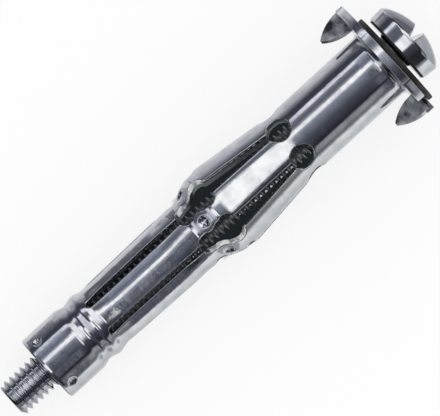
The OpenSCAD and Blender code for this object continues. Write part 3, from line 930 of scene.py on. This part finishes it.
def make_screw(scene):
    s, finish = Sizes(scene), scene.anchor_finish
    tip, high, head = SCREW_BOX[0].x / MM, SCREW_BOX[1].x / MM, SCREW_BOX[1].z / MM
    # Cold-headed steel with a rolled thread under bright zinc, a little cloudier than the drawn sleeve
    # Painted shade darkens the screw, and its gloss is duller, where it lies in the sleeve and under the
    # head
    painted_shade_to = (high - s.screw_side - s.screw_slot_depth) * MM
    metal = plated("Bright zinc on cold-headed steel", finish.zinc, finish.zinc_dull, (0.5, 0.5, 0.5),
                   0.06, (0.06, 0.14), film=(SLEEVE_BOX[0].x, painted_shade_to, finish.oiled))
    thread_r = s.screw_thread / 2
    dome_height = s.screw_dome - chord(s.screw_dome, head)
    # The dome's very top lies in the driver slot, so it is higher than the screw's box
    lost = s.screw_dome - chord(s.screw_dome, s.screw_slot / 2)
    under = high + lost - dome_height - s.screw_side
    top = under - s.screw_shank
    columns, rows_per_pitch = 64, 8
    turns = math.ceil((top - tip) / s.screw_pitch) + 2
    piece = new_object("anchor_screw", [(0, 0, 0)], [])
    run_tree(piece, thread_tree(metal), {
        "Tip": tip * MM, "Top": top * MM, "Radius": thread_r * MM, "Depth": s.screw_depth * MM,
        "Pitch": s.screw_pitch * MM, "Chamfer": s.screw_chamfer * MM, "Turns": turns,
        "Rows": turns * rows_per_pitch + 1, "Columns": columns + 1})
    core = thread_r - s.screw_depth
    # The tip's flat end has one ring inside its rim, so that its faces stay narrow
    end = [(tip, core), (tip, core - 0.25), (tip, 0)]
    centre = under + s.screw_side + dome_height - s.screw_dome
    dome = [polar(s.screw_dome, a) for a in np.linspace(math.asin(head / s.screw_dome), 0, 24)]
    dome = [(centre + x, r) for x, r in dome]
    # The die leaves a bevel under the head, a side that widens a little, and a round corner to the dome
    bevel, bevel_height, taper, shoulder = 0.34, 0.26, 0.13, 0.1
    corners = [(top, thread_r), (under, thread_r), (under, head - bevel),
               (under + bevel_height, head - taper), (under + s.screw_side - shoulder, head),
               *dome[3:-1], (dome[-1][0], 0)]
    radii = [0, 0.25, 0.04, 0.1, 0.42] + [0] * (len(corners) - 5)
    parts = [new_object("part_of_screw", *lathe(outline, columns, closed=False))
             for outline in (end, rounded(corners, radii, 6))]
    weld(piece, [part.data for part in parts], 0.000002)
    for part in parts:
        bpy.data.objects.remove(part)
    # The slot is narrower at its floor than at its mouth
    low, far = under + s.screw_side + dome_height - s.screw_slot_depth, 12
    floor, mouth = s.screw_slot / 2 - 0.3, s.screw_slot / 2 + 0.08
    corners = [(low, -floor), (low, floor), (high, mouth), (far, mouth), (far, -mouth), (high, -mouth)]
    points = [(x, *rotate(y, z, s.screw_slot_turn)) for z in (-far, far) for x, y in corners]
    faces = [(0, 1, 2, 3, 4, 5), (11, 10, 9, 8, 7, 6)] + [
        (k, k + 6, (k + 1) % 6 + 6, (k + 1) % 6) for k in range(6)]
    bar = new_object("slot_cutter", points, faces)
    turn_out(bar)
    combine(piece, "DIFFERENCE", bar)

    def soften(bm):
        round_edges(bm, [e for e in bm.edges if min(v.co.x for v in e.verts) > low * MM - 1e-6
                         and len(e.link_faces) == 2 and e.calc_face_angle(0) > math.radians(45)], 0.07, 2)
    edit(piece, soften)
    finish_shading(piece, 62)
    give_materials(piece, metal)
    return piece


# ---- Nut and washer ----

def make_nut(scene):
    # Turned steel under bright zinc, with rings left by the lathe
    metal = plated("Bright zinc on turned steel", scene.anchor_finish.zinc, scene.anchor_finish.zinc_dull,
                   (0.1, 3.0, 3.0), 0.2)
    low, high, radius = NUT_BOX[0].x / MM, NUT_BOX[1].x / MM, NUT_BOX[1].z / MM
    bore, bevel, bore_edge, edge = 2.05, 0.5, 0.06, 0.08
    outline = rounded([(low, bore), (low, radius - bevel), (low + bevel, radius), (high - bevel, radius),
                       (high, radius - bevel), (high, bore)], [bore_edge, *[edge] * 4, bore_edge], 3)
    return turned("anchor_nut", outline, 96, metal)


def make_washer(scene):
    low, high = WASHER_BOX
    middle, radius, hole = (low + high) / 2 / MM, (high.y - low.y) / 2 / MM, 2.8
    a, b = low.x / MM, high.x / MM
    # Punched out and then worn, so that each edge is rounded its own way
    outline = rounded([(a, hole), (a, radius), (b, radius), (b, hole)], [0.08, 0.16, 0.1, 0.12])
    return turned("anchor_washer", outline, 128, vulcanised_fibre(scene.anchor_finish), middle.yz)


# ---- Stage ----

# What polished metal mirrors, by direction round the axis in degrees from straight up towards -Y:
# soft boxes, dark flags and the pale floor
ROUND = [(-180, "#CFCFD2"), (-140, "#C9C9CD"), (-113, "#B2B3B9"), (-98, "#777881"), (-86, "#3B3D48"),
         (-69, "#363844"), (-62.5, "#E6E8F2"), (-57.5, "#E6E8F2"), (-52, "#777C85"), (-42, "#565B65"),
         (-33, "#666B76"), (-26, "#FFFFFF"), (-19, "#FFFFFF"), (-12.5, "#8A909D"), (-3, "#7A808C"),
         (6, "#656A74"), (15.5, "#4C505D"), (25, "#3B3E49"), (35, "#32333E"), (45, "#26262E"),
         (55, "#1E1E24"), (60, "#8F9296"), (72, "#8A8D90"), (80, "#696C6F"), (87, "#73767A"),
         (96, "#DCDFE1"), (113, "#CDD0D1"), (132, "#BDC0C1"), (180, "#CFCFD2")]

# Soft boxes and flags in front of those bands. Each has the range of a direction's lean along X with
# its softness, and then, for each part of it, the range of the angle round the axis with its softness,
# and a colour. "away" and "turned" are the lean and the angle without their signs.
PATCHES = [
    # Seen in the lower legs, which taper a little
    ("lean", -0.06, -0.022, 0.012, "angle", [
        (-122, -88, 6, "#565760"), (-60, -42, 4, "#8B90A0"), (-42, -28, 3, "#6F7585"),
        (-15, -6, 3, "#7E8492"), (-6, 20, 4, "#3F434E"), (24, 44, 4, "#62656E"), (54, 90, 4, "#484A56")]),
    # Seen in the side of the head
    ("lean", -0.24, -0.1, 0.025, "angle", [(-34, -18, 3, "#55565F"), (-11, 14, 7, "#FFFFFF")]),
    ("lean", -0.24, -0.08, 0.025, "angle", [(50, 79, 4, "#202025")]),
    # Seen in the upper legs, which spread
    ("lean", 0.19, 0.34, 0.06, "angle", [(-30, 17, 8, "#FFFFFF")]),
    # Seen in the folds, the groove and the thread
    ("lean", -0.44, -0.25, 0.05, "angle", [(-75, 62, 8, "#3E414C"), (-14, 1, 7, "#FAFAFD")]),
    ("away", 0.66, 1.0, 0.05, "turned", [(34, 98, 8, "#1C1E24")]),
    ("lean", -0.64, -0.52, 0.09, "angle", [(-44, -6, 24, "#CCCED8")]),
    ("lean", 0.46, 0.64, 0.05, "angle", [(-46, -6, 26, "#F2F3F9")]),
    ("lean", 0.7, 1.1, 0.04, "angle", [(-40, 44, 6, "#474A52"), (-36, 12, 9, "#FFFFFF")]),
    ("lean", -1.1, -0.68, 0.06, "angle", [(-50, 40, 8, "#555863")]),
    ("lean", -1.1, -0.72, 0.1, "angle", [(-17, 3, 9, "#C6C9D4")]),
    # Seen in the dome
    ("away", 0.36, 0.58, 0.04, "turned", [(104, 180, 10, "#97989E")]),
    ("away", 0.6, 0.74, 0.04, "turned", [(104, 180, 10, "#85868C")]),
    ("away", 0.76, 1.0, 0.04, "turned", [(104, 180, 10, "#65666C")]),
    ("lean", 0.4, 1.0, 0.05, "angle", [(104, 176, 6, "#A2A3A9")]),
    ("lean", -1.1, -0.95, 0.03, "turned", [(44, 181, 4, "#15151A")]),
]


def make_world(scene):
    world = bpy.data.worlds.new("Soft studio")
    world.use_nodes = True
    tree = world.node_tree
    tree.nodes.clear()
    place = add(tree, "ShaderNodeTexCoord").outputs["Generated"]
    toward = add(tree, "ShaderNodeSeparateXYZ", {"Vector": place}).outputs
    level = add(tree, "ShaderNodeMath", {0: toward["Y"], 1: -1.0}, operation="MULTIPLY")
    bearing = add(tree, "ShaderNodeMath", {0: level, 1: toward["Z"]}, operation="ARCTAN2")
    bearing = add(tree, "ShaderNodeMath", {0: bearing}, operation="DEGREES")
    turned_by = add(tree, "ShaderNodeMath", {0: bearing}, operation="ABSOLUTE")
    away = add(tree, "ShaderNodeMath", {0: toward["X"]}, operation="ABSOLUTE")
    seen = {"lean": toward["X"], "away": away, "angle": bearing, "turned": turned_by}
    around = add(tree, "ShaderNodeMapRange", {"Value": bearing, "From Min": -180.0, "From Max": 180.0})
    bands = add(tree, "ShaderNodeValToRGB", {"Fac": around})
    stops = bands.color_ramp.elements
    for k, (degrees, code) in enumerate(ROUND):
        at = (degrees + 180) / 360
        stop = stops[k] if k < 2 else stops.new(at)
        stop.position, stop.color = at, linear(code)
    lit = bands.outputs["Color"]
    for along, low, high, soft, about, parts in PATCHES:
        for left, right, blur, code in parts:
            mask = soft_mask(tree, "MULTIPLY", (
                (seen[along], low - soft, low), (seen[along], high + soft, high),
                (seen[about], left - blur, left), (seen[about], right + blur, right)))
            lit = add(tree, "ShaderNodeMix", {"Factor": mask, 6: lit, 7: linear(code)},
                      data_type="RGBA").outputs[2]
    rays = add(tree, "ShaderNodeLightPath").outputs
    # The zinc takes about a fifth of what it mirrors, so the bands are that much brighter
    mirrored = add(tree, "ShaderNodeBackground", {"Color": lit, "Strength": 1.25})
    plain = add(tree, "ShaderNodeBackground", {"Color": (1, 1, 1, 1), "Strength": 1.0})
    mixed = add(tree, "ShaderNodeMixShader", {0: rays["Is Glossy Ray"], 1: plain, 2: mirrored})
    add(tree, "ShaderNodeOutputWorld", {"Surface": mixed})
    scene.world = world


def make_floor(scene):
    """Matt white card, with painted shade under the sleeve. Mirrored rays pass through it to the studio,
    which has its own pale floor, except in that painted shade.
    """
    card, tree, place = new_material("Matt white card")
    # Paper grain about 0.4 mm across
    grain = add(tree, "ShaderNodeTexNoise", {"Vector": place, "Scale": 1 / (0.4 * MM), "Detail": 2.0})
    bump = add(tree, "ShaderNodeBump", {"Strength": 0.05, "Distance": 0.01 * MM, "Height": grain})
    # Painted shade: the card in the strip right under the sleeve, which is wider under the spread legs,
    # takes a dark colour that stands in for the shade there. Each strip has its two ends along X, its
    # half width, and the softness of its ends.
    spot = add(tree, "ShaderNodeSeparateXYZ", {"Vector": place}).outputs
    side = add(tree, "ShaderNodeMath", {0: spot["Y"]}, operation="ABSOLUTE")
    bright, fade = None, 0.6
    for near, far, half, soft in ((-2, -43, 2.9, 2.0), (-19, -24.4, 3.5, 0.8)):
        lit = soft_mask(tree, "MAXIMUM", (
            (side, half * MM, (half + fade) * MM), (spot["X"], (near - soft) * MM, (near + soft) * MM),
            (spot["X"], (far + soft) * MM, (far - soft) * MM)))
        bright = add(tree, "ShaderNodeMath", {0: bright, 1: lit}, operation="MULTIPLY") if bright else lit
    # The painted shade is mixed into the card's colour, for every kind of ray
    shade = add(tree, "ShaderNodeMix", {"Factor": bright, 6: scene.anchor_finish.floor_dark,
                                        7: scene.anchor_finish.floor}, data_type="RGBA")
    paper = add(tree, "ShaderNodeBsdfDiffuse", {"Color": shade.outputs[2], "Normal": bump})
    # Seen directly, the card is bright enough to leave only a soft shadow
    glow = add(tree, "ShaderNodeEmission", {"Color": shade.outputs[2], "Strength": 1.0})
    seen = add(tree, "ShaderNodeMixShader", {0: 0.8, 1: paper, 2: glow})
    clear = add(tree, "ShaderNodeBsdfTransparent")
    # Mirrored rays pass through the card, except in the painted shade strip, where they meet the dark
    # card
    mirrored = add(tree, "ShaderNodeMixShader", {0: bright, 1: paper, 2: clear})
    rays = add(tree, "ShaderNodeLightPath").outputs
    direct = add(tree, "ShaderNodeMixShader", {0: rays["Is Camera Ray"], 1: paper, 2: seen})
    mixed = add(tree, "ShaderNodeMixShader", {0: rays["Is Glossy Ray"], 1: direct, 2: mirrored})
    add(tree, "ShaderNodeOutputMaterial", {"Surface": mixed})
    # The card touches the flange's flat and the collar, so it slopes along the anchor
    s = Sizes(scene)
    tail_x = -s.end_at + s.collar_end_edge
    slope = (s.collar_r - s.flat) / (s.plate - tail_x)
    reach, gap = 1500, 0.01
    points = [(x, y, -s.flat + slope * (x - s.plate) - gap)
              for x, y in ((-reach, -reach), (reach, -reach), (reach, reach), (-reach, reach))]
    floor = new_object("floor", points, [(0, 1, 2, 3)])
    give_materials(floor, card)


def make_camera(scene):
    """Looks straight down, from far enough off that the near parts aren't enlarged."""
    lens = bpy.data.cameras.new("Camera")
    # The view is 44 mm across, about the middle of the anchor
    height, across, middle = 1.0, 0.044, (-0.0217, 0.00019)
    lens.sensor_width = 36
    lens.lens = lens.sensor_width * height / across
    lens.clip_start, lens.clip_end = 0.1, 10
    camera = bpy.data.objects.new("Camera", lens)
    bpy.context.collection.objects.link(camera)
    camera.location = (*middle, height)
    camera.rotation_euler = (0, 0, math.radians(-42.46))
    scene.camera = camera


# ---- Operators and panel ----

class ANCHOR_OT_sleeve(bpy.types.Operator):
    """Make the slotted steel sleeve with its flange and teeth"""
    bl_idname = "anchor.sleeve"
    bl_label = "Sleeve"

    def execute(self, context):
        piece = make_sleeve(context.scene)
        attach(piece, "sleeve")
        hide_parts("sleeve")
        return {"FINISHED"}


class ANCHOR_OT_nut(bpy.types.Operator):
    """Make the round nut trapped in the collar"""
    bl_idname = "anchor.nut"
    bl_label = "Nut"

    def execute(self, context):
        piece = make_nut(context.scene)
        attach(piece, "sleeve")
        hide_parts("nut")
        return {"FINISHED"}


class ANCHOR_OT_washer(bpy.types.Operator):
    """Make the loose fibre washer"""
    bl_idname = "anchor.washer"
    bl_label = "Washer"

    def execute(self, context):
        piece = make_washer(context.scene)
        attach(piece, "washer")
        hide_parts("washer")
        return {"FINISHED"}


class ANCHOR_OT_screw(bpy.types.Operator):
    """Make the screw with its thread and slotted head"""
    bl_idname = "anchor.screw"
    bl_label = "Screw"

    def execute(self, context):
        piece = make_screw(context.scene)
        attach(piece, "screw")
        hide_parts("screw")
        return {"FINISHED"}


class ANCHOR_OT_stage(bpy.types.Operator):
    """Make the floor, the light and the camera"""
    bl_idname = "anchor.stage"
    bl_label = "Stage"

    def execute(self, context):
        make_world(context.scene)
        make_floor(context.scene)
        make_camera(context.scene)
        context.scene.view_settings.view_transform = "Standard"
        return {"FINISHED"}


OPERATORS = (ANCHOR_OT_sleeve, ANCHOR_OT_nut, ANCHOR_OT_washer, ANCHOR_OT_screw, ANCHOR_OT_stage)
GROUPS = {"anchor_sleeve": AnchorSleeveSizes, "anchor_fold": AnchorFoldSizes,
          "anchor_collar": AnchorCollarSizes, "anchor_flange": AnchorFlangeSizes,
          "anchor_screw": AnchorScrewSizes, "anchor_finish": AnchorFinish}


class ANCHOR_PT_panel(bpy.types.Panel):
    """Sizes, colours and pieces of the wall anchor"""
    bl_idname = "ANCHOR_PT_panel"
    bl_label = "Wall anchor"
    bl_space_type = "VIEW_3D"
    bl_region_type = "UI"
    bl_category = "Wall anchor"

    def draw(self, context):
        for name, group in GROUPS.items():
            column = self.layout.column(align=True)
            for key in group.__annotations__:
                column.prop(getattr(context.scene, name), key)
        for operator in OPERATORS:
            self.layout.operator(operator.bl_idname)


def register():
    for group in GROUPS.values():
        bpy.utils.register_class(group)
    for name, group in GROUPS.items():
        setattr(bpy.types.Scene, name, bpy.props.PointerProperty(type=group))
    for operator in OPERATORS:
        bpy.utils.register_class(operator)
    bpy.utils.register_class(ANCHOR_PT_panel)


def unregister():
    bpy.utils.unregister_class(ANCHOR_PT_panel)
    for operator in reversed(OPERATORS):
        bpy.utils.unregister_class(operator)
    for name, group in reversed(GROUPS.items()):
        delattr(bpy.types.Scene, name)
        bpy.utils.unregister_class(group)


def main():
    register()
    bpy.ops.anchor.sleeve()
    bpy.ops.anchor.nut()
    bpy.ops.anchor.washer()
    bpy.ops.anchor.screw()
    bpy.ops.anchor.stage()


if __name__ == "__main__":
    main()
